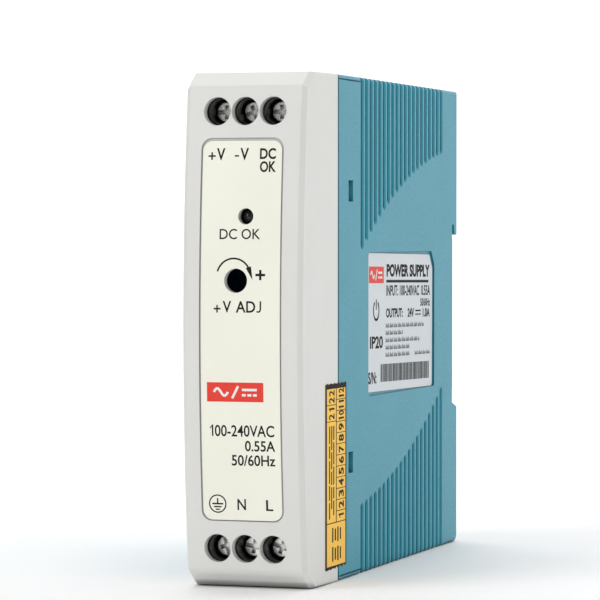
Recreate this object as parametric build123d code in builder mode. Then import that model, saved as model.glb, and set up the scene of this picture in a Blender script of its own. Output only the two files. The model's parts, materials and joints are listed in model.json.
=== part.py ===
"""DIN rail power supply: a slim two-tone housing with screw terminals and a sprung rail latch.

Millimetres. +X to the right, +Y from the front face back to the rail, +Z up.
The origin is the bottom centre of the unit's box. A "depth" is a distance behind the
frontmost point of the bowed front face.
"""
from build123d import *
import math
import os

os.makedirs("parts", exist_ok=True)

# ---------------------------------------------------------------- driving dimensions
width = 22.5
height = 90.0
total_depth = 100.0
wall = 1.6
side_x = width / 2
front_y = -total_depth / 2
mid_z = height / 2

seam_depth = 20.4  # where the grey cover ends and the case begins
seam_gap = 0.6
cover_depth = seam_depth - seam_gap
front_sag = 2.94  # how far the bowed front falls back at its two ends
front_radius = (mid_z**2 + front_sag**2) / (2 * front_sag)
bevel_height = 2.8
bevel_depth = 6.6
cover_draft = 1.0  # degrees
edge_chamfer = 0.75
top_crease_radius = 0.8
low_crease_radius = 2.0
side_edge_radius = 0.3

terminal_pitch = 5.08
terminal_offset = 37.9  # the screws' height above or below the middle
driver_hole_radius = 2.45
entry_width = 4.3
entry_depths = (14.3, 18.9)

label_x = -0.25
label_width = 14.4
label_heights = (12.1, 77.75)
recess_width = 15.0
recess_heights = (11.9, 78.25)
label_depths = (0.05, 0.3)
led_x, led_z, led_hole_radius = 0.6, 64.7, 1.4
trimmer_x, trimmer_z, trimmer_hole_radius = -1.1, 53.6, 2.1

panel_rim = 0.8  # width of the case's rim outside the side panel
flank_radius = 0.75
groove_count = 20
groove_width = 1.25
groove_cut = 0.9
groove_chamfer = 0.3
groove_start, groove_pitch = 34.6, 2.8
arc_centre_depth, arc_centre_z, arc_radius = 108.1, -66.6, 146.1
mirror_depth = 61.0  # the lower grooves are the upper ones turned half a turn about this depth
vent_half_width = 7.5

snap_depth, snap_offset = 27.6, 24.35
snap_size = (2.75, 3.8)

rail_seat_depth = 96.2
rail_bottom_z = 28.2
hook_z = 61.4
latch_half_width = 5.0
latch_clearance = 0.2

board_face_x = -7.0
board_thickness = 1.6
inner_x = side_x - wall


# ---------------------------------------------------------------- helpers
def y_at(depth):
    """The row's y of a plane at this depth behind the front."""
    return front_y + depth


def slab(xs, depths, zs, mode=Mode.ADD):
    """A box between two x values, two depths and two heights."""
    centre = (sum(xs) / 2, y_at(sum(depths) / 2), sum(zs) / 2)
    with Locations(centre):
        Box(xs[1] - xs[0], depths[1] - depths[0], zs[1] - zs[0], mode=mode)


def barrel(x, z, radius, depths, mode=Mode.ADD):
    """A cylinder along Y."""
    with Locations((x, y_at(sum(depths) / 2), z)):
        Cylinder(radius, depths[1] - depths[0], rotation=(90, 0, 0), mode=mode)


def drum(depth, z, radius, xs, mode=Mode.ADD):
    """A cylinder along X."""
    with Locations((sum(xs) / 2, y_at(depth), z)):
        Cylinder(radius, xs[1] - xs[0], rotation=(0, 90, 0), mode=mode)


def side_outline(points, x):
    """A closed outline through (depth, z) points, on the plane at x."""
    with BuildSketch(Plane.YZ.offset(x)) as outline:
        with BuildLine():
            Polyline([(y_at(depth), z) for depth, z in points], close=True)
        make_face()
    return outline.sketch


def cut_cornered(x, size, centre, tilt=0.0):
    """A rectangle whose upper rear corner is cut off and whose other corners are rounded."""
    with BuildSketch(Plane.YZ.offset(x)) as outline:
        with Locations(Location((y_at(centre[0]), centre[1]), tilt)):
            Rectangle(*size)
        corners = sorted(outline.vertices(), key=lambda corner: corner.X + corner.Y)
        fillet(corners[:3], 0.8)
        upper_rear = max(outline.vertices(), key=lambda corner: corner.X + corner.Y)
        chamfer(upper_rear, 2.6, 2.2)
    return outline.sketch


def bow_y(z, inset):
    """The front face's y at height z, or that of a surface this far inside it."""
    return front_y + inset + front_radius - math.sqrt(front_radius**2 - (z - mid_z) ** 2)


def cover_outline(inset):
    """The cover's side view: bowed front, bevelled top and bottom, open rear."""
    crease = bevel_height + 0.78 * inset
    bevel_end = y_at(bevel_depth + 0.55 * inset)
    rear = y_at(cover_depth)
    with BuildSketch(Plane.YZ.offset(-side_x)) as outline:
        with BuildLine():
            face = ThreePointArc(
                (bow_y(crease, inset), crease),
                (front_y + inset, mid_z),
                (bow_y(height - crease, inset), height - crease),
            )
            Polyline(
                face @ 1,
                (bevel_end, height - inset),
                (rear, height - inset),
                (rear, inset),
                (bevel_end, inset),
                face @ 0,
            )
        make_face()
    return outline.sketch


def curved_panel(panel_width, heights, corner, insets):
    """A rounded rectangle that follows the bowed front, between two insets from it."""
    low, high = heights
    with BuildPart() as panel:
        with BuildSketch(Plane.YZ.offset(-side_x)):
            with BuildLine():
                arcs = [
                    ThreePointArc(
                        (bow_y(1, inset), 1),
                        (front_y + inset, mid_z),
                        (bow_y(height - 1, inset), height - 1),
                    )
                    for inset in insets
                ]
                Line(arcs[0] @ 0, arcs[1] @ 0)
                Line(arcs[0] @ 1, arcs[1] @ 1)
            make_face()
        extrude(amount=width)
        with BuildSketch(Plane.XZ.offset(-y_at(-2))):
            with Locations((label_x, (low + high) / 2)):
                RectangleRounded(panel_width, high - low, corner)
        extrude(amount=-(front_sag + 4), mode=Mode.INTERSECT)
    return panel.part


def upper_groove_end(depth):
    """The height where an upper groove stops, on one large arc."""
    return arc_centre_z + math.sqrt(arc_radius**2 - (depth - arc_centre_depth) ** 2)


def side_grooves(x):
    """Both groove patterns of one side, as one sketch on the plane at x."""
    with BuildSketch(Plane.YZ.offset(x)) as pattern:
        for index in range(groove_count):
            depth = groove_start + index * groove_pitch
            top_end = upper_groove_end(depth)
            low_end = height - upper_groove_end(2 * mirror_depth - depth)
            for end, edge in ((top_end, height + 1), (low_end, -1)):
                with Locations((y_at(depth), (end + edge) / 2)):
                    Rectangle(groove_width, abs(edge - end))
                with Locations((y_at(depth), end)):
                    Circle(groove_width / 2)
    return pattern.sketch


def cut_side_grooves():
    """Cut the grooves into both flanks, and chamfer their edges."""
    for side in (1, -1):
        for floor_x, taper in ((side_x - groove_cut, 0), (side_x - groove_chamfer, -45)):
            pattern = side_grooves(side * floor_x)
            extrude(pattern, amount=side * (side_x - floor_x), taper=taper, mode=Mode.SUBTRACT)


def cut_end_grooves():
    """Carry the grooves over the top and bottom edges."""
    with BuildSketch(Plane.YZ.offset(-side_x - 1)) as ends:
        for index in range(groove_count):
            for edge in (0, height):
                with Locations((y_at(groove_start + index * groove_pitch), edge)):
                    Rectangle(groove_width, 2 * groove_cut)
    extrude(ends.sketch, amount=width + 2, mode=Mode.SUBTRACT)


def cut_vents():
    """Open the middle of every end groove into the case."""
    for level in (height - wall - 0.5, -0.5):
        with BuildSketch(Plane.XY.offset(level)) as slots:
            for index in range(groove_count):
                with Locations((0, y_at(groove_start + index * groove_pitch))):
                    Rectangle(2 * vent_half_width, groove_width)
        extrude(slots.sketch, amount=wall + 1, mode=Mode.SUBTRACT)


def save(part, name):
    """Label a finished piece and write its STEP file."""
    part.label = name
    export_step(part, f"parts/{name}.step")


# ---------------------------------------------------------------- front cover
with BuildPart() as cover_cavity:
    with BuildSketch(Plane.XZ.offset(-y_at(cover_depth + 0.01))):
        with Locations((0, mid_z)):
            Rectangle(width - 2 * wall, height - 2 * wall)
    extrude(amount=cover_depth, taper=cover_draft)
    extrude(cover_outline(wall), amount=width, mode=Mode.INTERSECT)

with BuildPart() as front_cover:
    with BuildSketch(Plane.XZ.offset(-y_at(cover_depth))):
        with Locations((0, mid_z)):
            Rectangle(width, height)
    extrude(amount=cover_depth + 1, taper=cover_draft)
    extrude(cover_outline(0), amount=width, mode=Mode.INTERSECT)
    ahead = front_cover.edges().filter_by(lambda e: e.center().Y < y_at(bevel_depth))
    chamfer(ahead.filter_by(lambda e: abs(e.center().X) > side_x - 1), edge_chamfer)
    for low, high, radius in ((mid_z, height, top_crease_radius), (0, mid_z, low_crease_radius)):
        creases = front_cover.edges().filter_by(Axis.X).filter_by_position(Axis.Z, low, high)
        fillet(creases.filter_by(lambda e: e.center().Y < y_at(10)), radius)
    long_edges = front_cover.edges().filter_by(lambda e: abs(e.tangent_at(0.5).Y) > 0.95)
    fillet(long_edges.filter_by(lambda e: e.length > 8), side_edge_radius)
    add(cover_cavity.part, mode=Mode.SUBTRACT)
    recess = curved_panel(recess_width, recess_heights, 1.9, (-0.5, label_depths[1]))
    add(recess, mode=Mode.SUBTRACT)
    for side in (1, -1):
        row_z = mid_z + side * terminal_offset
        for column in (-1, 0, 1):
            x = column * terminal_pitch
            barrel(x, row_z, driver_hole_radius, (-1, 6), Mode.SUBTRACT)
            slab(
                (x - entry_width / 2, x + entry_width / 2),
                entry_depths,
                sorted((mid_z + side * (mid_z - 2 * wall), mid_z + side * (mid_z + 1))),
                Mode.SUBTRACT,
            )
    barrel(led_x, led_z, led_hole_radius, (-1, 6), Mode.SUBTRACT)
    barrel(trimmer_x, trimmer_z, trimmer_hole_radius, (-1, 6), Mode.SUBTRACT)
    for hand in (1, -1):
        for side in (1, -1):
            z = mid_z + side * snap_offset
            tongue = (z - 2.5, z + 2.5)
            slab(sorted((hand * 8.75, hand * 10.2)), (14, cover_depth), tongue)
            slab(sorted((hand * 8.75, hand * 9.55)), (cover_depth - 0.5, 30), tongue)
            hook_z_span = (z - 1.6, z + 1.6)
            slab(sorted((hand * 9.5, hand * 10.15)), (26.5, 28.7), hook_z_span)
save(front_cover.part, "front_cover")

# ---------------------------------------------------------------- front label
with BuildPart() as front_label:
    add(curved_panel(label_width, label_heights, 1.7, label_depths))
    barrel(led_x, led_z, led_hole_radius, (-1, 6), Mode.SUBTRACT)
    barrel(trimmer_x, trimmer_z, trimmer_hole_radius, (-1, 6), Mode.SUBTRACT)
save(front_label.part, "front_label")

# ---------------------------------------------------------------- side panel and case
# The panel is the whole right flank behind the first groove, and lies inside a rim before it.
panel_points = (
    (seam_depth, panel_rim),
    (groove_start, panel_rim),
    (groove_start, -1),
    (total_depth + 1, -1),
    (total_depth + 1, height + 1),
    (groove_start, height + 1),
    (groove_start, height - panel_rim),
    (seam_depth, height - panel_rim),
)
notch_points = (
    (101.5, 26.4),
    (96.0, 28.0),
    (96.0, 31.0),
    (rail_seat_depth, 31.0),
    (rail_seat_depth, 60.5),
    (96.0, 60.5),
    (96.0, 63.1),
    (96.3, 63.45),
    (97.4, 63.45),
    (97.9, hook_z),
    (101.5, hook_z),
)


def snap_windows():
    """Cut the windows that the cover's tongues click into, through both side walls."""
    depths = (snap_depth - snap_size[0] / 2, snap_depth + snap_size[0] / 2)
    for side in (1, -1):
        z = mid_z + side * snap_offset
        heights = (z - snap_size[1] / 2, z + snap_size[1] / 2)
        slab((-side_x - 1, side_x + 1), depths, heights, Mode.SUBTRACT)


with BuildPart() as case_block:
    with BuildSketch(Plane.YZ.offset(-side_x)) as case_outline:
        with Locations((y_at((seam_depth + total_depth) / 2), mid_z)):
            Rectangle(total_depth - seam_depth, height)
        rear_corners = case_outline.vertices().group_by(Axis.X)[-1].sort_by(Axis.Y)
        fillet(rear_corners[0], 1.6)
        fillet(rear_corners[1], 1.2)
    extrude(amount=width)
    flanks = case_block.faces().filter_by(Axis.X)
    rims = flanks.edges().filter_by(lambda e: e.center().Y > y_at(seam_depth) + 0.5)
    fillet(rims, flank_radius)
    extrude(side_outline(notch_points, -side_x - 1), amount=width + 2, mode=Mode.SUBTRACT)
    snap_windows()
    cut_side_grooves()
    cut_end_grooves()

label_size = (43.3, 25.5)
label_centre = (60.4, 45.1)
label_tilt = -0.83
pocket_size = (44.4, 26.3)
pocket_centre = (60.7, 45.1)
pocket_cut = 0.35

with BuildPart() as case_side_panel:
    extrude(side_outline(panel_points, inner_x), amount=wall)
    outer_edges = case_side_panel.faces().sort_by(Axis.X)[-1].outer_wire().edges()
    chamfer(outer_edges.filter_by(lambda e: e.length < 20 and abs(e.tangent_at(0.5).Y) > 0.9), 0.2)
    add(case_block.part, mode=Mode.INTERSECT)
    label_pocket = cut_cornered(side_x, pocket_size, pocket_centre)
    extrude(label_pocket, amount=-pocket_cut, mode=Mode.SUBTRACT)
save(case_side_panel.part, "case_side_panel")

cavity_points = (
    (seam_depth - 1, wall),
    (92.9, wall),
    (92.9, 26.0),
    (94.4, 26.0),
    (94.4, 65.0),
    (total_depth - wall, 65.0),
    (total_depth - wall, height - wall),
    (seam_depth - 1, height - wall),
)
channel_floor = 94.5
rib_depths = (94.8, 96.4)
rib_half_width = 6.4
spring_seat = (7.5, 9.0)

with BuildPart() as case_tub:
    add(case_block.part)
    extrude(side_outline(cavity_points, -inner_x), amount=width, mode=Mode.SUBTRACT)
    pocket = offset(side_outline(panel_points, inner_x), amount=0.05, mode=Mode.PRIVATE)
    extrude(pocket, amount=wall + 1, mode=Mode.SUBTRACT)
    slab((inner_x, side_x + 1), (seam_depth - 1, 30), (panel_rim, height - panel_rim), Mode.SUBTRACT)
    channel = latch_half_width + latch_clearance
    slab((-channel, channel), (channel_floor, 102), (-1, 29), Mode.SUBTRACT)
    slab((-rib_half_width, rib_half_width), rib_depths, (-1, 29), Mode.SUBTRACT)
    slab((-1.9, 1.9), (channel_floor - 0.2, 99.0), spring_seat)
    cut_vents()
    for depth, z in ((24.5, 45), (60, 8), (60, 82), (86, 45)):
        drum(depth, z, 1.6, (-inner_x - 0.2, board_face_x - board_thickness))
save(case_tub.part, "case_tub")

# ---------------------------------------------------------------- rating label and seal
label_x_span = (side_x - pocket_cut, side_x - pocket_cut + 0.12)

with BuildPart() as rating_label:
    rating_outline = cut_cornered(label_x_span[0], label_size, label_centre, label_tilt)
    extrude(rating_outline, amount=label_x_span[1] - label_x_span[0])
save(rating_label.part, "rating_label")

seal_depths = (12.7, 24.7)
seal_heights = (2.4, 35.4)
seal_thickness = 0.08
seal_lean = (cover_depth - seal_depths[0]) * math.tan(math.radians(cover_draft))

with BuildPart() as seal_sticker:
    with BuildSketch(Plane.XY.offset(seal_heights[0])):
        with BuildLine():
            Polyline(
                (side_x - seal_lean, y_at(seal_depths[0])),
                (side_x, y_at(cover_depth)),
                (side_x, y_at(seal_depths[1])),
                (side_x + seal_thickness, y_at(seal_depths[1])),
                (side_x + seal_thickness, y_at(cover_depth)),
                (side_x - seal_lean + seal_thickness, y_at(seal_depths[0])),
                close=True,
            )
        make_face()
    extrude(amount=seal_heights[1] - seal_heights[0])
save(seal_sticker.part, "seal_sticker")

# ---------------------------------------------------------------- rail latch and its spring
latch_profile = (
    (94.7, 0.6),
    (99.4, 0.6),
    (99.4, 27.4),
    (98.0, 30.2),
    (97.45, 30.2),
    (97.45, 26.6),
    (94.7, 26.6),
)
window_heights = (7.3, 19.2)

with BuildPart() as rail_latch:
    latch_face = side_outline(latch_profile, -latch_half_width)
    extrude(latch_face, amount=2 * latch_half_width)
    rib_reach = rib_half_width - latch_clearance
    rib_span = (rib_depths[0] + latch_clearance, rib_depths[1] - latch_clearance)
    slab((-rib_reach, rib_reach), rib_span, (3, 24))
    slab((-2.1, 2.1), (94, 100), window_heights, Mode.SUBTRACT)
    slab((-2.6, 2.6), (94, 100), (2.2, 4.6), Mode.SUBTRACT)
    for groove_z in (21.5, 23.0, 24.5):
        slab((-3.5, 3.5), (99.1, 100), (groove_z - 0.35, groove_z + 0.35), Mode.SUBTRACT)
save(rail_latch.part, "rail_latch")

spring_wire = 0.5
spring_radius = 1.5
spring_turns = 6
spring_height = window_heights[1] - spring_seat[1] - spring_wire

with BuildPart() as latch_spring:
    spring_base = Plane((0, y_at(97.0), spring_seat[1] + spring_wire / 2))
    with BuildLine(spring_base) as coil_path:
        Helix(spring_height / spring_turns, spring_height, spring_radius)
    with BuildSketch(Plane(origin=coil_path.line @ 0, z_dir=coil_path.line % 0)):
        Circle(spring_wire / 2)
    sweep(path=coil_path.line, is_frenet=True)
save(latch_spring.part, "latch_spring")

# ---------------------------------------------------------------- terminals
block_half_width = 7.75
block_profile = ((4.2, 32.5), (19.9, 32.5), (19.9, 43.0), (8.0, 43.0), (4.2, 40.6))
head_depths = (7.0, 9.0)
shoulder_depths = (9.05, 9.85)
cavity_depths = (9.85, 19.35)
cage_depths = (12.8, 19.2)
cage_walls = (1.1, 0.9)
bar_depths = (14.1, 15.1)
cage_half_width = 1.95
cage_heights = (35.5, 40.3)
shaft_radius = 1.5
leg_offsets = (30.0, 28.0, 26.0)


def terminal_row(row, side, slot_angles):
    """One row of three rising-cage screw terminals, above (1) or below (-1) the middle."""

    def heights(low, high):
        return sorted((mid_z + side * low, mid_z + side * high))

    axis_z = mid_z + side * terminal_offset
    columns = [column * terminal_pitch for column in (-1, 0, 1)]

    with BuildPart() as terminal_block:
        outline = [(depth, mid_z + side * offset_z) for depth, offset_z in block_profile]
        extrude(side_outline(outline, -block_half_width), amount=2 * block_half_width)
        for x in columns:
            barrel(x, axis_z, 2.2, (4, shoulder_depths[0]), Mode.SUBTRACT)
            barrel(x, axis_z, shaft_radius + 0.15, shoulder_depths, Mode.SUBTRACT)
            slab((x - 2.05, x + 2.05), cavity_depths, heights(35.3, 40.7), Mode.SUBTRACT)
            half_entry = entry_width / 2
            slab((x - half_entry, x + half_entry), entry_depths, heights(40.6, 44), Mode.SUBTRACT)
            slab((x - 1.25, x + 1.25), (14.0, 15.2), heights(32, 36), Mode.SUBTRACT)
    save(terminal_block.part, f"{row}_terminal_block")

    with BuildPart() as contacts:
        for x, leg in zip(columns, leg_offsets):
            slab((x - 1.15, x + 1.15), bar_depths, heights(leg - 0.6, 40.5))
            slab((board_face_x, x + 1.15), bar_depths, heights(leg - 0.6, leg + 0.6))
    save(contacts.part, f"{row}_contacts")

    for number, (x, angle) in enumerate(zip(columns, slot_angles), start=1):
        with BuildPart() as screw:
            barrel(x, axis_z, 1.9, head_depths)
            fillet(screw.edges().group_by(Axis.Y)[0], 0.3)
            with BuildSketch(Plane.XZ.offset(-y_at(head_depths[0]))):
                with Locations(Location((x, axis_z), angle)):
                    Rectangle(5, 0.7)
                    Rectangle(0.7, 2.4)
            extrude(amount=-0.9, mode=Mode.SUBTRACT)
            barrel(x, axis_z, shaft_radius, (head_depths[1], 13.85))
        save(screw.part, f"{row}_screw_{number}")

        with BuildPart() as cage:
            outer = (x - cage_half_width, x + cage_half_width)
            slab(outer, cage_depths, heights(*cage_heights))
            inner = (outer[0] + 0.5, outer[1] - 0.5)
            gap = (cage_depths[0] + cage_walls[0], cage_depths[1] - cage_walls[1])
            slab(inner, gap, heights(30, 45), Mode.SUBTRACT)
            barrel(x, axis_z, shaft_radius + 0.05, (12, 17.2), Mode.SUBTRACT)
        save(cage.part, f"{row}_clamp_cage_{number}")


terminal_row("output", 1, (0, 20, 0))
terminal_row("input", -1, (-75, -10, -20))

# ---------------------------------------------------------------- indicator and trimmer
led_radius = 1.5

with BuildPart() as led:
    with Locations((led_x, y_at(3.3), led_z)):
        Sphere(led_radius)
    barrel(led_x, led_z, led_radius, (3.3, 7.0))
    barrel(led_x, led_z, 1.9, (7.0, 8.0))
save(led.part, "status_led")

with BuildPart() as led_leads:
    for z in (led_z - 1.27, led_z + 1.27):
        slab((led_x - 0.25, led_x + 0.25), (8.0, 14.0), (z - 0.25, z + 0.25))
        slab((board_face_x, led_x + 0.25), (13.5, 14.0), (z - 0.25, z + 0.25))
save(led_leads.part, "led_leads")

rotor_radius = 1.9
rotor_depths = (9.4, 11.45)

with BuildPart() as trimmer_body:
    slab((board_face_x, 2.5), (10, 16), (trimmer_z - 3.8, trimmer_z + 3.8))
    barrel(trimmer_x, trimmer_z, rotor_radius + 0.05, (9, 11.5), Mode.SUBTRACT)
save(trimmer_body.part, "trimmer_body")

with BuildPart() as trimmer_rotor:
    barrel(trimmer_x, trimmer_z, rotor_radius, rotor_depths)
    slab((trimmer_x - 1.4, trimmer_x + 1.4), (9, 10.2), (trimmer_z - 0.3, trimmer_z + 0.3), Mode.SUBTRACT)
    slab((trimmer_x - 0.3, trimmer_x + 0.3), (9, 10.2), (trimmer_z - 1.4, trimmer_z + 1.4), Mode.SUBTRACT)
save(trimmer_rotor.part, "trimmer_rotor")

# ---------------------------------------------------------------- circuit board
board_back_x = board_face_x - board_thickness
board_points = (
    (12.5, mid_z - 31.2),
    (20.6, mid_z - 31.2),
    (20.6, 3.0),
    (92.0, 3.0),
    (92.0, height - 3.0),
    (20.6, height - 3.0),
    (20.6, mid_z + 31.2),
    (12.5, mid_z + 31.2),
)

with BuildPart() as main_board:
    extrude(side_outline(board_points, board_back_x), amount=board_thickness)
save(main_board.part, "main_board")

with BuildPart() as insulation_sheet:
    slab((inner_x - 0.45, inner_x - 0.2), (32, 91), (3.5, height - 3.5))
save(insulation_sheet.part, "insulation_sheet")


# ---------------------------------------------------------------- input side of the circuit
def upright_disc(name, depth, z, radius, thickness):
    """A round disc part that stands on the board on two wires."""
    centre_x = board_face_x + radius + 2.2
    with BuildPart() as body:
        barrel(centre_x, z, radius, (depth - thickness / 2, depth + thickness / 2))
        fillet(body.edges(), 0.6)
        for wire in (-2.5, 2.5):
            with Locations(((board_face_x + centre_x) / 2, y_at(depth), z + wire)):
                Cylinder(0.35, centre_x - board_face_x, rotation=(0, 90, 0))
    save(body.part, name)


with BuildPart() as fuse:
    drum(27.5, 12.5, 4.2, (board_face_x + 0.6, board_face_x + 8.3))
    fillet(fuse.edges().group_by(Axis.X)[-1], 0.5)
    for wire in (-2.5, 2.5):
        drum(27.5, 12.5 + wire, 0.35, (board_face_x, board_face_x + 1.2))
save(fuse.part, "fuse")

upright_disc("varistor", 36.5, 12.0, 4.5, 4.2)
upright_disc("inrush_thermistor", 44.0, 12.0, 4.5, 4.0)
upright_disc("safety_capacitor", 46.0, 42.0, 4.0, 3.6)

with BuildPart() as line_filter_capacitor:
    slab((board_face_x, 5.0), (50, 63), (5, 11))
    fillet(line_filter_capacitor.edges().filter_by(Axis.X), 0.5)
save(line_filter_capacitor.part, "line_filter_capacitor")

with BuildPart() as filter_choke_core:
    slab((board_face_x + 1.0, 7.0), (66, 82), (7, 16))
    slab((board_face_x + 4.0, 4.0), (69.4, 78.6), (6, 17), Mode.SUBTRACT)
save(filter_choke_core.part, "filter_choke_core")

with BuildPart() as filter_choke_windings:
    for limb in ((board_face_x + 1.0, board_face_x + 4.0), (4.0, 7.0)):
        slab((limb[0] - 1.0, limb[1] + 1.2), (69.5, 78.5), (5.8, 17.2))
        slab(limb, (69, 79), (7, 16), Mode.SUBTRACT)
save(filter_choke_windings.part, "filter_choke_windings")

with BuildPart() as bridge_rectifier:
    slab((board_face_x + 1.5, board_face_x + 12), (85.5, 89.3), (5, 20))
    fillet(bridge_rectifier.edges().filter_by(Axis.Y), 0.6)
    for z in (6.5, 10.5, 14.5, 18.5):
        slab((board_face_x, board_face_x + 1.5), (87, 87.8), (z - 0.5, z + 0.5))
save(bridge_rectifier.part, "bridge_rectifier")

with BuildPart() as bulk_capacitor:
    barrel(-0.6, 28.0, 6.25, (52, 77))
    fillet(bulk_capacitor.edges(), 0.6)
save(bulk_capacitor.part, "bulk_capacitor")

with BuildPart() as primary_heatsink:
    slab((board_face_x, 8.0), (90.4, 91.9), (28, 60))
    for z in (31, 57):
        slab((board_face_x, board_face_x + 1), (88.2, 90.4), (z - 2, z + 2))
save(primary_heatsink.part, "primary_heatsink")


def power_package(name, tab_depths, z, back_depth):
    """A three-lead power package bolted flat on a heatsink behind it."""
    near, far = tab_depths
    with BuildPart() as package:
        slab((-3.5, 3.6), (near, far - 1.3), (z - 5, z + 5))
        slab((-3.5, 8.0), (far - 1.3, far), (z - 5, z + 5))
        barrel(5.9, z, 1.6, (far - 2, far + 1), Mode.SUBTRACT)
        for lead in (-2.54, 0, 2.54):
            slab((board_face_x, -3.4), (back_depth - 0.3, back_depth + 0.3), (z + lead - 0.4, z + lead + 0.4))
    save(package.part, name)


power_package("primary_switch", (85.8, 90.4), 44.0, 88.0)

# ---------------------------------------------------------------- transformer
with BuildPart() as transformer_core:
    slab((-2.4, 4.4), (50, 71), (39, 61))
    slab((-3, 5), (54, 67), (41.5, 58.5), Mode.SUBTRACT)
    slab((-2.4, 4.4), (57.5, 63.5), (41, 59))
save(transformer_core.part, "transformer_core")

with BuildPart() as transformer_winding:
    slab((-5.6, 7.6), (54.1, 66.9), (42.0, 58.0))
    fillet(transformer_winding.edges().filter_by(Axis.Z), 1.2)
    slab((-2.4, 4.4), (57.5, 63.5), (41, 59), Mode.SUBTRACT)
save(transformer_winding.part, "transformer_winding")

with BuildPart() as transformer_bobbin:
    for z_span in ((41.5, 42.0), (58.0, 58.5)):
        slab((-6.0, 8.0), (54.1, 66.9), z_span)
    slab((board_face_x, -5.7), (54.1, 66.9), (41.5, 42.0))
    slab((board_face_x, -5.7), (54.1, 66.9), (58.0, 58.5))
    slab((-2.4, 4.4), (57.5, 63.5), (41, 59), Mode.SUBTRACT)
save(transformer_bobbin.part, "transformer_bobbin")

# ---------------------------------------------------------------- output side of the circuit
with BuildPart() as secondary_heatsink:
    slab((board_face_x, 8.0), (90.4, 91.9), (62, 86))
    for z in (65, 83):
        slab((board_face_x, board_face_x + 1), (88.2, 90.4), (z - 2, z + 2))
save(secondary_heatsink.part, "secondary_heatsink")

power_package("output_rectifier", (85.8, 90.4), 74.0, 88.0)

with BuildPart() as heatsink_screws:
    for z in (44.0, 74.0):
        barrel(5.9, z, 2.1, (86.9, 89.1))
        barrel(5.9, z, 1.5, (89.1, 90.4))
        slab((5.4, 6.4), (86, 87.5), (z - 3, z + 3), Mode.SUBTRACT)
save(heatsink_screws.part, "heatsink_screws")

with BuildPart() as output_capacitors:
    for z in (68.5, 80.0):
        barrel(-1.9, z, 5.0, (60, 80))
    fillet(output_capacitors.edges(), 0.5)
save(output_capacitors.part, "output_capacitors")

choke_depth, choke_z, choke_x = 46.0, 74.0, -2.0

with BuildPart() as output_choke_core:
    drum(choke_depth, choke_z, 6.4, (choke_x - 2.6, choke_x + 2.6))
    drum(choke_depth, choke_z, 3.4, (choke_x - 3, choke_x + 3), Mode.SUBTRACT)
save(output_choke_core.part, "output_choke_core")

with BuildPart() as output_choke_winding:
    with BuildSketch(Plane.XY.offset(choke_z)) as turn_section:
        with Locations((choke_x, y_at(choke_depth + 4.9))):
            Rectangle(7.2, 5.0)
            Rectangle(5.3, 3.3, mode=Mode.SUBTRACT)
    extrude(amount=0.45, both=True)
    turn = output_choke_winding.part
    ring_axis = Axis((choke_x, y_at(choke_depth), choke_z), (1, 0, 0))
    for step in range(1, 14):
        add(turn.rotate(ring_axis, step * 360 / 14))
save(output_choke_winding.part, "output_choke_winding")

with BuildPart() as optocoupler:
    slab((board_face_x, -3.6), (44, 48.6), (54, 60.5))
save(optocoupler.part, "optocoupler")

with BuildPart() as controller_chip:
    slab((board_face_x + 0.2, -5.2), (44, 49), (22, 28))
    for lead in range(4):
        for zs in ((21, 22), (28, 29)):
            leg = 44.6 + 1.27 * lead
            slab((board_face_x, board_face_x + 0.4), (leg - 0.2, leg + 0.2), zs)
save(controller_chip.part, "controller_chip")
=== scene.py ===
"""Looks for the DIN rail power supply: printing, labels, materials, light and camera."""

import bpy
import bmesh
import json
import math
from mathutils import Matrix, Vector
from mathutils.bvhtree import BVHTree


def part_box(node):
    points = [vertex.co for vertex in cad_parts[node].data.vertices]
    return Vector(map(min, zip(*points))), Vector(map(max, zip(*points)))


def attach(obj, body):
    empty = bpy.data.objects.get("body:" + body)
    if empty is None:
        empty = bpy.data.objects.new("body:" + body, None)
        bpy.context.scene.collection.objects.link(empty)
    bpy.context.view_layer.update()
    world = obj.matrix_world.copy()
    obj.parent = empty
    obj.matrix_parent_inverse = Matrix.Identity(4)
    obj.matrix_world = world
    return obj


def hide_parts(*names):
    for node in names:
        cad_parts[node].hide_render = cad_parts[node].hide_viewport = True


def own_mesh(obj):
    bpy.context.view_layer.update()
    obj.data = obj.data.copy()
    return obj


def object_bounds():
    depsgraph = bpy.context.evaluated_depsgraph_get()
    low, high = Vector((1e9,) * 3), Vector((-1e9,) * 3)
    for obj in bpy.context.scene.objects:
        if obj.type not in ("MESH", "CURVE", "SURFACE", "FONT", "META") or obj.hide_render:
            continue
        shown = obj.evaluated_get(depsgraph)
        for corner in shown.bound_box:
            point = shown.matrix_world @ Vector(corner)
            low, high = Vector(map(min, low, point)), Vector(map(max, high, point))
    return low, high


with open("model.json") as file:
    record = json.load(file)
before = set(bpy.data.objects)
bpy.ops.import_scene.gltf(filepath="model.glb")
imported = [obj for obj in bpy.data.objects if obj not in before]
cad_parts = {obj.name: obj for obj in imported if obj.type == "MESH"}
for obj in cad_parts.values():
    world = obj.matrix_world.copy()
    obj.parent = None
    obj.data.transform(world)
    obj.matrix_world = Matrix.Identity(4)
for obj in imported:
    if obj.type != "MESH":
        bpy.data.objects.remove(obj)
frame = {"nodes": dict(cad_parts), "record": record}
cad_box = [list(corner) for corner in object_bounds()]
MM = 0.001
scene = bpy.context.scene
scene.view_settings.view_transform = "Standard"


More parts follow.
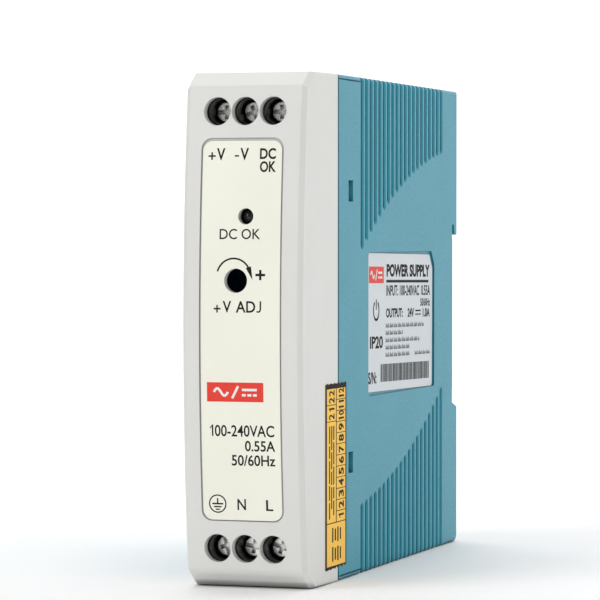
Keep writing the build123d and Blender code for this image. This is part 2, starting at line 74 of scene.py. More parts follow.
# ---------------------------------------------------------------- material building blocks
class Shader:
    """A Principled material with short ways to add the nodes used here."""

    def __init__(self, name, color, roughness, metallic=0.0):
        self.material = bpy.data.materials.new(name)
        self.material.use_nodes = True
        self.nodes = self.material.node_tree.nodes
        self.links = self.material.node_tree.links
        self.nodes.clear()
        self.out = self.nodes.new("ShaderNodeOutputMaterial")
        self.main = self.nodes.new("ShaderNodeBsdfPrincipled")
        self.links.new(self.main.outputs[0], self.out.inputs[0])
        self.set("Base Color", (*color, 1))
        self.set("Roughness", roughness)
        self.set("Metallic", metallic)
        self.where = self.nodes.new("ShaderNodeTexCoord").outputs["Object"]
        self.material.diffuse_color = (*color, 1)

    def set(self, socket, value):
        self.main.inputs[socket].default_value = value

    def noise(self, scale, detail=2.0, stretch=(1, 1, 1)):
        mapping = self.nodes.new("ShaderNodeMapping")
        mapping.inputs["Scale"].default_value = stretch
        self.links.new(self.where, mapping.inputs["Vector"])
        texture = self.nodes.new("ShaderNodeTexNoise")
        texture.inputs["Scale"].default_value = scale
        texture.inputs["Detail"].default_value = detail
        self.links.new(mapping.outputs[0], texture.inputs["Vector"])
        return texture.outputs["Fac"]

    def ramp(self, source, stops):
        ramp = self.nodes.new("ShaderNodeValToRGB")
        while len(ramp.color_ramp.elements) < len(stops):
            ramp.color_ramp.elements.new(0.5)
        for element, (place, color) in zip(ramp.color_ramp.elements, stops):
            element.position = place
            element.color = (*color, 1)
        self.links.new(source, ramp.inputs["Fac"])
        return ramp.outputs["Color"]

    def spread(self, source, low, high):
        """Stretches the middle of a noise over a range of values."""
        ranged = self.nodes.new("ShaderNodeMapRange")
        ranged.inputs["From Min"].default_value = 0.3
        ranged.inputs["From Max"].default_value = 0.7
        ranged.inputs["To Min"].default_value = low
        ranged.inputs["To Max"].default_value = high
        self.links.new(source, ranged.inputs["Value"])
        return ranged.outputs[0]

    def feed(self, output, socket):
        self.links.new(output, self.main.inputs[socket])

    def soft_edges(self, radius):
        bevel = self.nodes.new("ShaderNodeBevel")
        bevel.samples = 4
        bevel.inputs["Radius"].default_value = radius
        return bevel.outputs[0]

    def crevice(self, color, reach, darkest):
        """Paints shade into a colour where the surface lies in a groove or a gap: painted crevice
        shade from ambient occlusion.
        """
        hidden = self.nodes.new("ShaderNodeAmbientOcclusion")
        hidden.samples = 8
        hidden.inputs["Distance"].default_value = reach
        tones = [(0.15, (darkest,) * 3), (0.85, (1, 1, 1))]
        shadow = self.ramp(hidden.outputs["AO"], tones)
        mix = self.nodes.new("ShaderNodeMix")
        mix.data_type = "RGBA"
        mix.blend_type = "MULTIPLY"
        mix.inputs[0].default_value = 1.0
        self.links.new(color, mix.inputs[6])
        self.links.new(shadow, mix.inputs[7])
        return mix.outputs[2]

    def bump(self, height, strength, distance, normal=None):
        bump = self.nodes.new("ShaderNodeBump")
        bump.inputs["Strength"].default_value = strength
        bump.inputs["Distance"].default_value = distance
        self.links.new(height, bump.inputs["Height"])
        if normal is not None:
            self.links.new(normal, bump.inputs["Normal"])
        self.links.new(bump.outputs[0], self.main.inputs["Normal"])


def shade(color, factor):
    return tuple(min(1.0, c * factor) for c in color)


def moulded(
    name, color, roughness=0.45, grain=0.25, depth=0.012, mottle=0.03, edge=0.2, groove_shade=1.0, gloss=0.5
):
    """Moulded plastic: fine grain, faint mottling, softened edges, and painted shade in its
    grooves.

    Grain, depth and edge are in millimetres, and a groove shade of 1 paints no shade into the
    grooves.
    """
    s = Shader(name, color, roughness)
    s.set("Specular IOR Level", gloss)
    cloudy = s.noise(scale=90, detail=3)
    paint = s.ramp(cloudy, [(0.3, shade(color, 1 - mottle)), (0.7, shade(color, 1 + mottle))])
    # painted shade: the colour is darkened by ambient occlusion in grooves, gaps and seams
    if groove_shade < 1:
        paint = s.crevice(paint, reach=1.6 * MM, darkest=groove_shade)
    s.feed(paint, "Base Color")
    coarse = s.noise(scale=1 / (grain * 3 * MM), detail=2)
    s.feed(s.spread(coarse, roughness - 0.05, roughness + 0.06), "Roughness")
    rounded = s.soft_edges(edge * MM) if edge else None
    fine = s.noise(scale=1 / (grain * MM), detail=2)
    s.bump(fine, strength=0.5, distance=depth * MM, normal=rounded)
    return s.material


def metal(name, color, roughness=0.32, grain=(1, 1, 12), scratch=0.006, tarnish=0.25, groove_shade=1.0):
    """Plated or drawn metal: streaks along one direction, faint tarnish, painted shade in its
    slots.
    """
    s = Shader(name, color, roughness, metallic=1.0)
    patchy = s.noise(scale=700, detail=4)
    paint = s.ramp(patchy, [(0.3, shade(color, 1 - tarnish)), (0.65, shade(color, 1.08))])
    # painted shade: the colour is darkened by ambient occlusion in slots and hollows
    if groove_shade < 1:
        paint = s.crevice(paint, reach=0.7 * MM, darkest=groove_shade)
    s.feed(paint, "Base Color")
    streaks = s.noise(scale=2200, detail=4, stretch=grain)
    s.feed(s.spread(streaks, roughness - 0.08, roughness + 0.14), "Roughness")
    s.bump(streaks, strength=0.5, distance=scratch * MM, normal=s.soft_edges(0.1 * MM))
    return s.material


def printed_film(name, color, roughness=0.38, fibre=0.4, depth=0.004):
    """A printed film or paper label: almost even colour, a faint weave and a slight gloss."""
    s = Shader(name, color, roughness)
    cloudy = s.noise(scale=60, detail=4)
    s.feed(s.ramp(cloudy, [(0.3, shade(color, 0.975)), (0.7, shade(color, 1.015))]), "Base Color")
    gloss = s.noise(scale=2500, detail=2)
    s.feed(s.spread(gloss, roughness - 0.04, roughness + 0.05), "Roughness")
    if depth:
        weave = s.noise(scale=1 / (fibre * MM), detail=3)
        s.bump(weave, strength=0.4, distance=depth * MM)
    return s.material


def ink(name, color, roughness=0.5):
    """Printing ink with slightly uneven cover."""
    s = Shader(name, color, roughness)
    lighter = tuple(1.04 * c + 0.003 for c in color)
    cover = s.noise(scale=1800, detail=3)
    s.feed(s.ramp(cover, [(0.35, color), (0.8, lighter)]), "Base Color")
    s.bump(s.noise(scale=4000, detail=2), strength=0.3, distance=0.003 * MM)
    return s.material


def laminate(name, color):
    """Glass-fibre board: woven threads under a solder mask."""
    s = Shader(name, color, roughness=0.35)
    threads = s.nodes.new("ShaderNodeTexWave")
    threads.inputs["Scale"].default_value = 900
    threads.inputs["Distortion"].default_value = 1.5
    s.links.new(s.where, threads.inputs["Vector"])
    tones = [(0.2, shade(color, 0.8)), (0.8, shade(color, 1.2))]
    s.feed(s.ramp(threads.outputs["Fac"], tones), "Base Color")
    s.bump(threads.outputs["Fac"], strength=0.3, distance=0.01 * MM)
    return s.material


def winding(name, color, metallic=1.0, pitch=0.4):
    """Wound wire or tape: fine parallel turns."""
    scale_of_pitch = 6.3
    s = Shader(name, color, roughness=0.35, metallic=metallic)
    turns = s.nodes.new("ShaderNodeTexWave")
    turns.inputs["Scale"].default_value = 1 / (pitch * scale_of_pitch * MM)
    turns.bands_direction = "Z"
    s.links.new(s.where, turns.inputs["Vector"])
    s.feed(s.ramp(turns.outputs["Fac"], [(0.1, shade(color, 0.5)), (0.6, color)]), "Base Color")
    s.bump(turns.outputs["Fac"], strength=0.6, distance=0.06 * MM)
    return s.material


# ---------------------------------------------------------------- materials for the CAD nodes
cover_color = (0.70, 0.70, 0.675)
case_color = (0.034, 0.285, 0.38)
looks = {
    # the cover and case plastics carry painted shade in their grooves, seams and snap slots
    "cover_plastic": moulded(
        "cover_plastic", cover_color,
        roughness=0.42, grain=0.22, depth=0.01, mottle=0.012, edge=0.15, groove_shade=0.35,
    ),
    "case_plastic": moulded(
        "case_plastic", case_color,
        roughness=0.40, grain=0.22, depth=0.01, mottle=0.03, edge=0.15, groove_shade=0.2, gloss=0.25,
    ),
    "label_vinyl": printed_film("label_vinyl", (0.86, 0.86, 0.75)),
    "rating_film": printed_film(
        "rating_film", (0.63, 0.67, 0.70),
        roughness=0.5, fibre=3.0, depth=0.0,
    ),
    "seal_paper": printed_film("seal_paper", (0.97, 0.56, 0.045), roughness=0.55),
    "terminal_plastic": moulded(
        "terminal_plastic", (0.012, 0.018, 0.014),
        roughness=0.35, grain=0.3, depth=0.01, mottle=0.1, edge=0.1,
    ),
    # the screw heads carry painted shade in their slots
    "screw_steel": metal(
        "screw_steel", (0.86, 0.86, 0.83),
        roughness=0.2, grain=(12, 1, 1), scratch=0.0015, tarnish=0.1, groove_shade=0.03,
    ),
    "cage_steel": metal("cage_steel", (0.60, 0.60, 0.57), roughness=0.35, grain=(1, 1, 12)),
    "contact_metal": metal("contact_metal", (0.72, 0.69, 0.60), roughness=0.3, grain=(1, 1, 14)),
    "spring_steel": metal("spring_steel", (0.55, 0.55, 0.56), roughness=0.25, grain=(1, 1, 4)),
    "board_laminate": laminate("board_laminate", (0.03, 0.16, 0.06)),
    "insulation_film": printed_film(
        "insulation_film", (0.75, 0.75, 0.70),
        roughness=0.3, fibre=1.2,
    ),
    "black_moulding": moulded(
        "black_moulding", (0.02, 0.02, 0.022),
        roughness=0.4, grain=0.15, depth=0.012, mottle=0.15, edge=0.15,
    ),
    "capacitor_sleeve": moulded(
        "capacitor_sleeve", (0.015, 0.018, 0.03),
        roughness=0.22, grain=0.8, depth=0.01, mottle=0.1, edge=0.3,
    ),
    "fuse_moulding": moulded(
        "fuse_moulding", (0.10, 0.035, 0.012),
        roughness=0.3, grain=0.5, depth=0.01, mottle=0.1, edge=0.2,
    ),
    "varistor_coating": moulded(
        "varistor_coating", (0.03, 0.10, 0.35),
        roughness=0.25, grain=0.9, depth=0.03, mottle=0.1, edge=0.4,
    ),
    "thermistor_coating": moulded(
        "thermistor_coating", (0.03, 0.07, 0.04),
        roughness=0.3, grain=0.9, depth=0.03, mottle=0.1, edge=0.4,
    ),
    "disc_coating": moulded(
        "disc_coating", (0.06, 0.20, 0.45),
        roughness=0.25, grain=0.9, depth=0.03, mottle=0.1, edge=0.4,
    ),
    "film_capacitor_case": moulded(
        "film_capacitor_case", (0.72, 0.48, 0.03),
        roughness=0.4, grain=0.3, depth=0.01, mottle=0.05, edge=0.2,
    ),
    "ferrite": moulded(
        "ferrite", (0.05, 0.05, 0.055),
        roughness=0.55, grain=0.12, depth=0.02, mottle=0.2, edge=0.2,
    ),
    "copper_wire": winding("copper_wire", (0.62, 0.24, 0.08)),
    "winding_tape": winding("winding_tape", (0.75, 0.55, 0.05), metallic=0.0, pitch=4.0),
    "heatsink_aluminium": metal(
        "heatsink_aluminium", (0.75, 0.76, 0.77),
        roughness=0.38, grain=(1, 1, 10),
    ),
    "lead_metal": metal("lead_metal", (0.72, 0.72, 0.70), roughness=0.25, grain=(1, 1, 6)),
    "led_lens": moulded(
        "led_lens", (0.004, 0.007, 0.005),
        roughness=0.06, grain=2.0, depth=0.002, mottle=0.1, edge=0,
    ),
    "trimmer_moulding": moulded(
        "trimmer_moulding", (0.01, 0.025, 0.09),
        roughness=0.3, grain=0.3, depth=0.01, mottle=0.1, edge=0.15,
    ),
    "rotor_moulding": moulded(
        "rotor_moulding", (0.02, 0.02, 0.022),
        roughness=0.4, grain=0.3, depth=0.01, mottle=0.1, edge=0.1,
    ),
}

slots = {part["node"]: part["material_slot"] for part in frame["record"]["subparts"]}
for node, thing in frame["nodes"].items():
    thing.data.materials.clear()
    thing.data.materials.append(looks[slots[node]])


# ---------------------------------------------------------------- flat drawings, in millimetres
def bar(middle, size):
    """A filled rectangle."""
    (u, v), (w, h) = middle, (size[0] / 2, size[1] / 2)
    return [(u - w, v - h), (u + w, v - h), (u + w, v + h), (u - w, v + h)], [(0, 1, 2, 3)]


def stroke(path, thickness, closed=False):
    """A line of even thickness along a path of points."""
    points, count = [], len(path)
    for i, (u, v) in enumerate(path):
        before = path[i - 1] if closed or i else path[i]
        after = path[(i + 1) % count] if closed or i < count - 1 else path[i]
        along = Vector((after[0] - before[0], after[1] - before[1])).normalized() * thickness / 2
        points += [(u + along.y, v - along.x), (u - along.y, v + along.x)]
    last = count if closed else count - 1
    ends = [(2 * i, 2 * ((i + 1) % count)) for i in range(last)]
    return points, [(one, two, two + 1, one + 1) for one, two in ends]


def arc(centre, radius, start, end, steps=24):
    """Points on part of a circle, between two angles in degrees."""
    angles = [math.radians(start + (end - start) * i / steps) for i in range(steps + 1)]
    return [(centre[0] + radius * math.cos(a), centre[1] + radius * math.sin(a)) for a in angles]


def ring(centre, radius, thickness):
    return stroke(arc(centre, radius, 0, 360, steps=48)[:-1], thickness, closed=True)


def words(text, middle, size, upright=True, weight=0.0):
    """Filled letters fitted to a width and a height, and turned to read upwards if not upright."""
    curve = bpy.data.curves.new("letters", "FONT")
    curve.body, curve.offset, curve.resolution_u = text, weight, 4
    holder = bpy.data.objects.new("letters", curve)
    mesh = bpy.data.meshes.new_from_object(holder)
    us, vs = [p.co.x for p in mesh.vertices], [p.co.y for p in mesh.vertices]
    scale = size[0] / (max(us) - min(us)), size[1] / (max(vs) - min(vs))
    centre = (max(us) + min(us)) / 2, (max(vs) + min(vs)) / 2
    fitted = [((u - centre[0]) * scale[0], (v - centre[1]) * scale[1]) for u, v in zip(us, vs)]
    if not upright:
        fitted = [(-v, u) for u, v in fitted]
    faces = [tuple(p.vertices) for p in mesh.polygons]
    bpy.data.objects.remove(holder)
    bpy.data.curves.remove(curve)
    bpy.data.meshes.remove(mesh)
    return [(middle[0] + u, middle[1] + v) for u, v in fitted], faces


def moved(drawing, middle, scale=1.0):
    points, faces = drawing
    return [(middle[0] + u * scale, middle[1] + v * scale) for u, v in points], faces


def turned(drawing):
    """The same drawing reading upwards."""
    points, faces = drawing
    return [(-v, u) for u, v in points], faces


def figure_one(size, thickness):
    """The figure 1 with its flag, about its own middle."""
    w, h = size[0] / 2, size[1] / 2
    points = [
        (w - thickness, -h),
        (w, -h),
        (w, h),
        (w - 0.8 * thickness, h),
        (w - thickness, h - 0.6 * thickness),
        (-w, 0.52 * h),
        (-w, 0.52 * h - thickness),
        (w - thickness, 0.62 * h),
    ]
    return points, [(0, 1, 2, 7), (7, 2, 3, 4), (4, 5, 6, 7)]


def number(value, middle, digit, gap, thickness, weight):
    """A whole number reading upwards, each digit fitted to one size."""
    text = str(value)
    drawings = []
    for place, figure in enumerate(text):
        along = (place - (len(text) - 1) / 2) * (digit[0] + gap)
        if figure == "1":
            one = turned(figure_one((0.6 * digit[0], digit[1]), thickness))
            drawings.append(moved(one, (middle[0], middle[1] + along)))
        else:
            drawings.append(words(figure, (middle[0], middle[1] + along), digit, False, weight))
    return drawings


class PrintedFace:
    """Lays flat drawings on the outer face of a CAD node, as thin closed pieces."""

    ray_start = 50  # millimetres outside the face
    same_point, sliver = 0.001, 0.0005  # in the drawings' millimetres

    def __init__(self, node, right, origin, tilt=0.0, pleats=()):
        data = frame["nodes"][node].data
        corners = [v.co for v in data.vertices]
        self.tree = BVHTree.FromPolygons(corners, [p.vertices for p in data.polygons])
        across, up = Vector(right), Vector((0, 0, 1))
        self.outward = across.cross(up)
        turn = math.radians(tilt)
        self.right = across * math.cos(turn) + up * math.sin(turn)
        self.up = up * math.cos(turn) - across * math.sin(turn)
        self.origin, self.pleats = Vector(origin), pleats

    def place(self, u, v):
        point = self.origin + (self.right * u + self.up * v) * MM
        start = point + self.outward * self.ray_start * MM
        hit = self.tree.ray_cast(start, -self.outward)[0]
        return hit or self.tree.find_nearest(point)[0]

    def lay(self, name, drawings, look, top, bottom, body="housing"):
        """One piece from many drawings, between two heights above the face in millimetres."""
        flat = bmesh.new()
        for points, faces in drawings:
            corners = [flat.verts.new((u, v, 0)) for u, v in points]
            for face in faces:
                flat.faces.new([corners[i] for i in face])
        bmesh.ops.remove_doubles(flat, verts=flat.verts, dist=self.same_point)
        bmesh.ops.dissolve_degenerate(flat, edges=flat.edges, dist=self.sliver)
        for u in self.pleats:
            everything = flat.verts[:] + flat.edges[:] + flat.faces[:]
            bmesh.ops.bisect_plane(flat, geom=everything, plane_co=(u, 0, 0), plane_no=(1, 0, 0))
        for face in flat.faces:
            face.normal_update()
            if face.normal.z < 0:
                face.normal_flip()
        flat.verts.index_update()
        count = len(flat.verts)
        base = [self.place(vert.co.x, vert.co.y) for vert in flat.verts]
        points = [p + self.outward * height * MM for height in (top, bottom) for p in base]
        faces = []
        for face in flat.faces:
            loop = [vert.index for vert in face.verts]
            faces += [loop, [i + count for i in reversed(loop)]]
            for corner in face.loops:
                if corner.edge.is_boundary:
                    a, b = corner.vert.index, corner.link_loop_next.vert.index
                    faces.append([b, a, a + count, b + count])
        flat.free()
        mesh = bpy.data.meshes.new(name)
        mesh.from_pydata(points, [], faces)
        mesh.validate()
        mesh.materials.append(look)
        piece = bpy.data.objects.new(name, mesh)
        scene.collection.objects.link(piece)
        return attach(piece, body)


low, high = (Vector(corner) for corner in cad_box)
middle = (low + high) / 2
black_ink = ink("black_ink", (0.004, 0.004, 0.004), 0.9)
red_ink = ink("red_ink", (0.74, 0.035, 0.018), 0.6)
white_ink = ink("white_ink", (0.82, 0.81, 0.78), 0.6)
grey_ink = ink("grey_ink", (0.05, 0.055, 0.06), 0.9)


def converter_mark(middle, scale=1.0):
    """The general sign for a converter: a wave, a slash, and a line over dashes."""
    line, steps, right = 0.42, 24, 2.6
    wave = [
        (-3.9 + 2.6 * i / steps, 0.62 * math.sin(math.tau * i / steps)) for i in range(steps + 1)
    ]
    parts = [
        stroke(wave, line),
        stroke([(-0.55, -1.05), (0.55, 1.05)], line),
        bar((right, 0.42), (2.7, line)),
    ]
    parts += [bar((right + step, -0.5), (0.7, line)) for step in (-1, 0, 1)]
    return [moved(part, middle, scale) for part in parts]


# ---------------------------------------------------------------- printing on the front label
front = PrintedFace("front_label", (1, 0, 0), (0, 0, middle.z))
ink_heights = (0.016, -0.02)
mark_heights = (0.024, 0.0)  # on top of a red block

# each text has its middle, from the label's middle, and its size, in millimetres

terminal_legends = [
    words("+", (-5.8, 30.15), (1.3, 1.3), weight=0.012),
    words("V", (-4.15, 30.45), (1.55, 2.1), weight=0.02),
    bar((-1.25, 30.15), (0.75, 0.27)),
    words("V", (0.15, 30.45), (1.55, 2.1), weight=0.02),
    words("DC", (4.4, 30.5), (2.9, 1.9), weight=0.025),
    words("OK", (4.45, 28.25), (2.9, 1.9), weight=0.025),
    words("N", (-0.4, -30.15), (1.55, 1.95), weight=0.012),
    words("L", (4.7, -30.2), (1.3, 1.9), weight=0.012),
]
earth_middle = (-4.8, -30.1)
earth_sign = [
    ring(earth_middle, 1.5, 0.22),
    moved(bar((0, 0.55), (0.24, 0.84)), earth_middle),
    moved(bar((0, 0.0), (2.0, 0.26)), earth_middle),
    moved(bar((0, -0.52), (1.36, 0.24)), earth_middle),
    moved(bar((0, -0.98), (0.74, 0.22)), earth_middle),
]
light_legend = [words("DC OK", (-0.4, 16.65), (7.4, 1.8), weight=0.006)]
arrow_centre, arrow_radius = (-1.46, 9.38), 3.06
trimmer_legend = [
    stroke(arc(arrow_centre, arrow_radius, 164.5, 29.5), 0.3),
    ([(0.75, 10.8), (1.98, 8.75), (1.68, 11.1)], [(0, 1, 2)]),
    words("+", (3.4, 9.6), (1.75, 1.75), weight=0.02),
    words("+", (-4.45, 3.75), (1.25, 1.3), weight=0.012),
    words("V", (-2.65, 4.1), (1.55, 2.0), weight=0.015),
    words("AD", (0.75, 4.1), (3.55, 2.0), weight=0.015),
    stroke([(3.45, 5.1), (3.45, 3.65), (3.38, 3.4), (3.2, 3.24), (2.98, 3.22), (2.78, 3.32)], 0.27),
]
supply_legend = [
    moved(figure_one((0.62, 2.0), 0.26), (-5.6, -17.3)),
    words("00-240VAC", (0.4, -17.35), (10.85, 2.0), weight=0.012),
    words("0.55A", (3.2, -19.95), (5.5, 1.85), weight=0.015),
    words("50/60Hz", (1.95, -22.45), (7.95, 1.9), weight=0.015),
]
front.lay("terminal_legends", terminal_legends, black_ink, *ink_heights)
front.lay("earth_sign", earth_sign, black_ink, *ink_heights)
front.lay("light_legend", light_legend, black_ink, *ink_heights)
front.lay("trimmer_legend", trimmer_legend, black_ink, *ink_heights)
front.lay("supply_legend", supply_legend, black_ink, *ink_heights)
block_middle = (-1.2, -10.65)
front.lay("front_block", [bar(block_middle, (10.3, 3.35))], red_ink, *ink_heights)
front.lay("front_block_mark", converter_mark(block_middle), white_ink, *mark_heights)

# ---------------------------------------------------------------- printing on the rating label
rating_low, rating_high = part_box("rating_label")
rating_middle = (rating_low + rating_high) / 2
rating = PrintedFace("rating_label", (0, 1, 0), (0, rating_middle.y, rating_middle.z), tilt=-0.83)


def small_print(left, right, v, height):
    """One line of small print, greeked: letters as bare strokes in words of uneven length."""
    strokes, u, letter = [], left, 0
    while u < right:
        tall = height * (1.0 if letter % 5 in (0, 3) else 0.72)
        strokes.append(bar((u, v + (tall - height) / 2), (0.26, tall)))
        if letter % 3 != 1:
            strokes.append(bar((u + 0.2, v - 0.3 * height), (0.3, 0.16)))
        letter += 1
        u += 0.9 if letter % 9 in (0, 4) else 0.52
    return strokes


def barcode(left, right, v, height):
    """Upright bars of uneven width that encode nothing."""
    bars, u, step = [], left, 0
    while u < right:
        bar_width = 0.26 + 0.2 * ((3 * step * step + 5 * step) % 7 % 4)
        bars.append(bar((u + bar_width / 2, v - 0.004 * (u - left)), (bar_width, height)))
        u += bar_width + 0.22 + 0.16 * ((step * step + 3 * step) % 5 % 3)
        step += 1
    return bars


ratings = [
    words("POWER SUPPLY", (5.1, 9.6), (29.4, 2.4), weight=0.045),
    bar((4.6, 7.58), (28.7, 0.5)),
    words("INPUT: 100-240VAC  0.55A", (5.2, 5.85), (29.8, 2.0), weight=0.02),
    words("50/60Hz", (16.7, 3.55), (6.8, 1.5), weight=0.02),
    words("OUTPUT:", (-4.3, 1.65), (11.1, 1.75), weight=0.035),
    words("24V", (6.75, 1.6), (4.3, 1.7), weight=0.035),
    bar((11.75, 1.95), (3.7, 0.28)),
    bar((10.45, 1.25), (1.0, 0.28)),
    bar((11.75, 1.25), (1.0, 0.28)),
    bar((13.05, 1.25), (1.0, 0.28)),
    words("1.0A", (17.5, 1.55), (4.9, 1.7), weight=0.035),
    words("IP20", (-16.0, -3.7), (8.3, 2.3), weight=0.03),
    words("S/N:", (-18.5, -10.2), (5.2, 2.2), weight=0.03),
    stroke(arc((-16.2, 2.2), 1.75, 125, 415, 40), 0.5),
    bar((-16.2, 3.3), (0.5, 1.9)),
]
line_ends, line_pitch = (15.6, 1.2, 12.6, 5.8, 6.5), 1.36
fine_lines = []
for i, end in enumerate(line_ends):
    fine_lines += small_print(-9.8, end, -0.65 - line_pitch * i, 0.85)
fine_lines += small_print(9.8, 19.8, -6.1, 0.75)
rating.lay("rating_text", ratings, black_ink, *ink_heights)
rating.lay("rating_small_print", fine_lines, grey_ink, *ink_heights)
rating.lay("rating_barcode", barcode(-13.2, 19.5, -9.43, 3.3), black_ink, *ink_heights)
block_middle = (-16.2, 8.75)
rating.lay("rating_block", [bar(block_middle, (9.5, 3.05))], red_ink, *ink_heights)
rating.lay("rating_block_mark", converter_mark(block_middle, 0.95), white_ink, *mark_heights)

# ---------------------------------------------------------------- the seal over the seam
seal_low, seal_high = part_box("seal_sticker")
seal_middle = (seal_low + seal_high) / 2
half_width = (seal_high.y - seal_low.y) / 2 / MM
half_height = (seal_high.z - seal_low.z) / 2 / MM
pleats = [-half_width + 0.4 * i for i in range(1, int(5 * half_width))]
seal = PrintedFace("seal_sticker", (0, 1, 0), (0, seal_middle.y, seal_middle.z), pleats=pleats)


def torn(u, amount):
    """How far the paper is torn back at this place along an end."""
    return amount * (0.5 + 0.28 * math.sin(3.1 * u + 1) + 0.22 * math.sin(7.7 * u))


stations = [-half_width + 0.5 * i for i in range(int(4 * half_width) + 1)]


def paper(top, bottom, left, right):
    """The paper between two heights and two sides, with torn ends where it reaches the ends."""
    inside = [u for u in stations if left < u < right]
    points = []
    for u in [left, *inside, right]:
        upper, lower = top, bottom
        if top >= half_height:
            upper = half_height - torn(u, 0.3)
        if bottom <= -half_height:
            lower = -half_height + torn(u + 2, 0.15 + 0.05 * (u + half_width))
        points += [(u, lower), (u, upper)]
    return points, [(2 * i, 2 * i + 2, 2 * i + 3, 2 * i + 1) for i in range(len(points) // 2 - 1)]


column_u, cell_left, cell_right = 0.08, -5.15, 5.45
cells_top, cells_end, box_end = 15.45, -8.25, -15.85
number_pitch = (cells_top - cells_end) / 12
left_rules = (cells_top - 2.85, cells_top - 5.75)
box_middle, box_height = (cells_top + box_end) / 2, cells_top - box_end
thin_rule = 0.13
rules = [
    paper(half_height, cells_top, -half_width, half_width),
    paper(box_end, -half_height, -half_width, half_width),
    bar(((cell_left - half_width) / 2, box_middle), (half_width + cell_left, box_height)),
    bar(((cell_right + half_width) / 2, box_middle), (half_width - cell_right, box_height)),
    bar((column_u, (cells_top + cells_end) / 2), (0.36, cells_top - cells_end)),
    bar(((cell_left + cell_right) / 2, cells_end), (cell_right - cell_left, 0.16)),
]
for n in range(1, 12):
    v = cells_top - number_pitch * n
    rules.append(bar(((column_u + cell_right) / 2, v), (cell_right - column_u, thin_rule)))
for v in left_rules:
    rules.append(bar(((column_u + cell_left) / 2, v), (column_u - cell_left, thin_rule)))

figure_height, figure_line = 3.0, 0.34
numbers = []
for n in range(1, 13):
    place = (3.0, cells_end + number_pitch * (n - 0.5))
    digit = (0.85 if n > 9 else 1.25, figure_height)
    numbers += number(n, place, digit, gap=0.16, thickness=figure_line, weight=0.03)
for n, rule in ((21, left_rules[1]), (22, left_rules[0])):
    place, digit = (-2.45, rule + 1.45), (1.05, figure_height)
    numbers += number(n, place, digit, gap=0.2, thickness=figure_line, weight=0.02)

# broken bars that say nothing, where the photograph has script
dash_rows = ((3.1, 2.2, 4.0, 2.6, 2.9), (4.2, 3.0, 2.4, 3.8), (2.5, 3.9, 3.2, 2.0, 2.6))
dashes = []
for row, lengths in enumerate(dash_rows):
    v = 8.9
    for length in lengths:
        dashes.append(bar((-3.65 + 1.15 * row, v - length / 2), (0.55, length)))
        v -= length + 0.4
stamp = [
    bar((-1.9 + 1.45 * row, -12.1 + v), (0.7, 2.6 - 0.5 * (row % 2)))
    for v in (-1.7, 1.7)
    for row in range(4)
]

whole_seal = paper(half_height, -half_height, -half_width, half_width)
film_heights = (-0.02, -0.075)
film = seal.lay("seal_film", [whole_seal], looks["seal_paper"], *film_heights)
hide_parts("seal_sticker")
print_heights = (-0.004, -0.03)
seal.lay("seal_rules", rules, black_ink, *print_heights)
seal.lay("seal_numbers", numbers, black_ink, *print_heights)
seal.lay("seal_dashes", dashes + stamp, black_ink, *print_heights)

# ---------------------------------------------------------------- the latch's spring
spring_low, spring_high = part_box("latch_spring")
wire_radius = 0.25 * MM
coil_radius = (spring_high.x - spring_low.x) / 2 - wire_radius
coil_middle = (spring_low + spring_high) / 2
turns, ring_count, round_count = 7.5, 300, 10


def coil_height(t):
    """Even turns between one closed turn at each end, as a share of the spring's height."""
    closed = 1 / turns
    rise = 2.2 * wire_radius / (spring_high.z - spring_low.z)
    if t < closed:
        return rise * t / closed
    if t > 1 - closed:
        return 1 - rise * (1 - t) / closed
    return rise + (1 - 2 * rise) * (t - closed) / (1 - 2 * closed)


coil = bmesh.new()
loops = []
for i in range(ring_count + 1):
    t = i / ring_count
    angle = math.tau * turns * t
    out = Vector((math.cos(angle), math.sin(angle), 0))
    run = spring_high.z - spring_low.z - 2 * wire_radius
    z = spring_low.z + wire_radius + coil_height(t) * run
    centre = Vector((coil_middle.x, coil_middle.y, z)) + out * coil_radius
    loop = []
    for a in (math.tau * k / round_count for k in range(round_count)):
        lift = Vector((0, 0, wire_radius * math.sin(a)))
        loop.append(coil.verts.new(centre + out * wire_radius * math.cos(a) + lift))
    loops.append(loop)
for one, two in zip(loops, loops[1:]):
    for k in range(round_count):
        after = (k + 1) % round_count
        coil.faces.new((one[k], one[after], two[after], two[k]))
coil.faces.new(loops[0][::-1])
coil.faces.new(loops[-1])
bmesh.ops.recalc_face_normals(coil, faces=coil.faces)
for face in coil.faces:
    face.smooth = len(face.verts) == 4
spring_mesh = bpy.data.meshes.new("latch_coil")
coil.to_mesh(spring_mesh)
coil.free()
spring_mesh.materials.append(looks["spring_steel"])
spring = bpy.data.objects.new("latch_coil", spring_mesh)
scene.collection.objects.link(spring)
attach(spring, "housing")
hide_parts("latch_spring")
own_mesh(spring)

# ---------------------------------------------------------------- floor, light and camera
floor_paint = Shader("floor_paint", (0.93, 0.93, 0.93), roughness=0.7)
floor_tones = [(0.3, (0.925,) * 3), (0.7, (0.935,) * 3)]
floor_noise = floor_paint.noise(scale=6, detail=2)
floor_paint.feed(floor_paint.ramp(floor_noise, floor_tones), "Base Color")

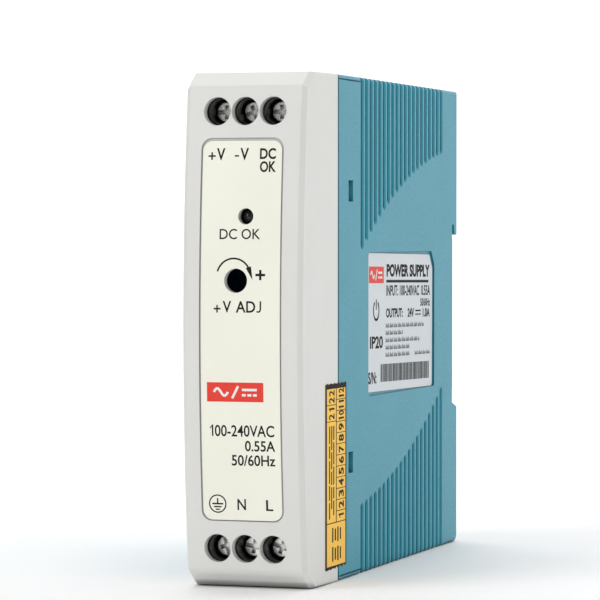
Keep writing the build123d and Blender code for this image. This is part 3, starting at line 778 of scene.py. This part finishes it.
floor_mesh = bpy.data.meshes.new("floor")
sweep = bmesh.new()
bend_start, bend_radius, side = 0.75, 0.5, 4.0
profile = [(-3.0, 0.0), (bend_start, 0.0)]
for a in [math.radians(6 * k) for k in range(1, 16)]:
    y = bend_start + bend_radius * math.sin(a)
    profile.append((y, bend_radius - bend_radius * math.cos(a)))
profile += [(bend_start + bend_radius, 4.0)]
rows = [[sweep.verts.new((x, y, z)) for y, z in profile] for x in (-side, side)]
for a, b, c, d in zip(rows[0], rows[0][1:], rows[1][1:], rows[1]):
    sweep.faces.new((d, c, b, a))
sweep.to_mesh(floor_mesh)
sweep.free()
floor = bpy.data.objects.new("floor", floor_mesh)
for face in floor_mesh.polygons:
    face.use_smooth = True
floor_mesh.materials.append(floor_paint.material)
scene.collection.objects.link(floor)


def softbox(name, place, size, power, aim=None):
    """A rectangular area light turned towards the object."""
    lamp = bpy.data.lights.new(name, "AREA")
    lamp.shape = "RECTANGLE"
    lamp.size, lamp.size_y = size
    lamp.energy = power
    holder = bpy.data.objects.new(name, lamp)
    holder.location = place
    target = Vector(aim) if aim else middle
    holder.rotation_euler = (target - Vector(place)).to_track_quat("-Z", "Y").to_euler()
    scene.collection.objects.link(holder)


softbox("front_left_box", (-0.75, -0.95, 0.66), size=(0.7, 0.9), power=6.9)
softbox("right_box", (1.1, -0.48, 0.45), size=(0.8, 0.8), power=2.2)
softbox("front_right_box", (0.8, -1.0, 0.5), size=(0.3, 0.9), power=1.5)
softbox("top_box", (0.0, -0.1, 1.3), size=(1.0, 0.8), power=3.0)
backdrop = (0, 1.25, 0.2)
softbox("backdrop_box", (0.0, 0.55, 1.2), size=(2.4, 0.5), power=14.0, aim=backdrop)

world = bpy.data.worlds.new("studio")
world.use_nodes = True
sky = world.node_tree.nodes["Background"]
sky.inputs["Color"].default_value = (1, 1, 1, 1)
sky.inputs["Strength"].default_value = 0.35
scene.world = world

camera_data = bpy.data.cameras.new("camera")
camera_data.sensor_width = 36
camera_data.lens = 196.5
camera_data.shift_x = 0.0048
camera_data.shift_y = 0.0067
camera_data.clip_end = 20
camera = bpy.data.objects.new("camera", camera_data)
camera.location = (0.1843, -0.5835, 0.0624)
look_down, look_left = 1.30, 18.08  # degrees
camera.rotation_euler = (math.radians(90 - look_down), 0, math.radians(look_left))
scene.collection.objects.link(camera)
scene.camera = camera
